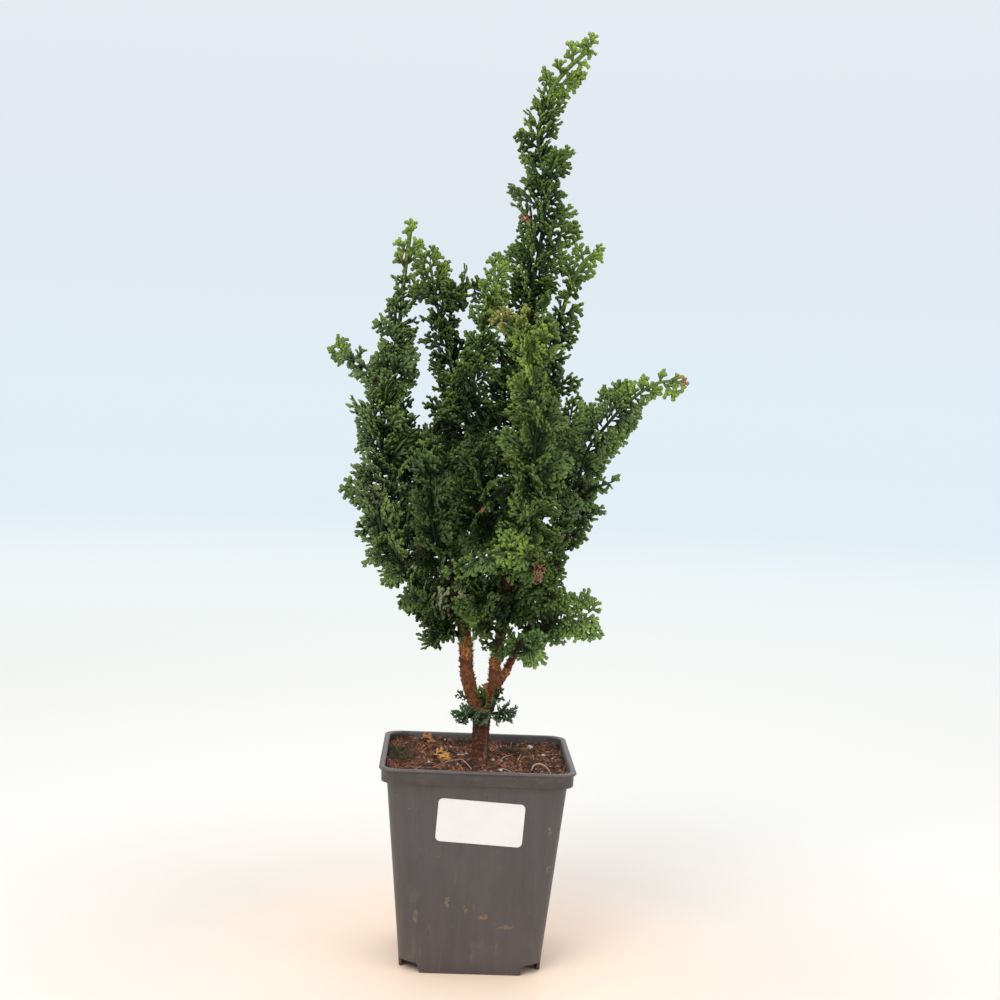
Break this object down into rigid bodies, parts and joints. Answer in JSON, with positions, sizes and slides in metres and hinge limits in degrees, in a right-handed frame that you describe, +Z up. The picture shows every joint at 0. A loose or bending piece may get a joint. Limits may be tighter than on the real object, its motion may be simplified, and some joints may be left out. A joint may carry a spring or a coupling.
{
  "type": "hinoki cypress bonsai in a square pot",
  "caption": "Young hinoki cypress bonsai with several leafy upright shoots on forked stems, growing in a tapered square nursery pot with a blank label.",
  "frame": {"origin": "middle of the pot's foot, on the surface it stands on", "axes": "+Z up along the trunk, -Y towards the front of the pot, where the label is, +X to the right of it"},
  "size_m": [0.1654, 0.1316, 0.4359],
  "materials": {
    "pot_plastic": "satin",
    "label_paper": "matte",
    "peat": "matte",
    "bark": "matte",
    "leaf_green": "matte",
    "leaf_tip_green": "matte",
    "leaf_deep_green": "matte",
    "withered_leaf": "matte"
  },
  "bodies": {
    "root": {"pot": "pot_plastic", "label": "label_paper", "soil": "peat", "trunk_and_stems": "bark", "withered_spray": "withered_leaf", "leader": "leaf_green", "left_shoot": "leaf_green", "centre_shoot": "leaf_green", "right_upper_shoot": "leaf_green", "front_left_shoot": "leaf_green", "low_left_shoot": "leaf_green", "low_right_shoot": "leaf_green", "low_centre_tail": "leaf_green", "back_left_shoot": "leaf_green", "back_right_shoot": "leaf_green", "back_left_skirt": "leaf_green", "back_right_skirt": "leaf_green", "side_left_shoot": "leaf_green", "side_right_shoot": "leaf_green", "crotch_tuft": "leaf_green", "golden_shoot": "leaf_tip_green", "right_plume": "leaf_tip_green", "front_shelf": "leaf_tip_green", "right_skirt": "leaf_tip_green", "low_right_tail": "leaf_tip_green", "second_left_shoot": "leaf_deep_green", "front_centre_shoot": "leaf_deep_green", "left_skirt": "leaf_deep_green", "middle_skirt": "leaf_deep_green", "low_left_tail": "leaf_deep_green", "hanging_tail": "leaf_deep_green", "back_centre_shoot": "leaf_deep_green", "back_middle_skirt": "leaf_deep_green", "back_low_skirt": "leaf_deep_green", "fork_left_tuft": "leaf_deep_green", "fork_right_tuft": "leaf_deep_green"}
  },
  "joints": []
}
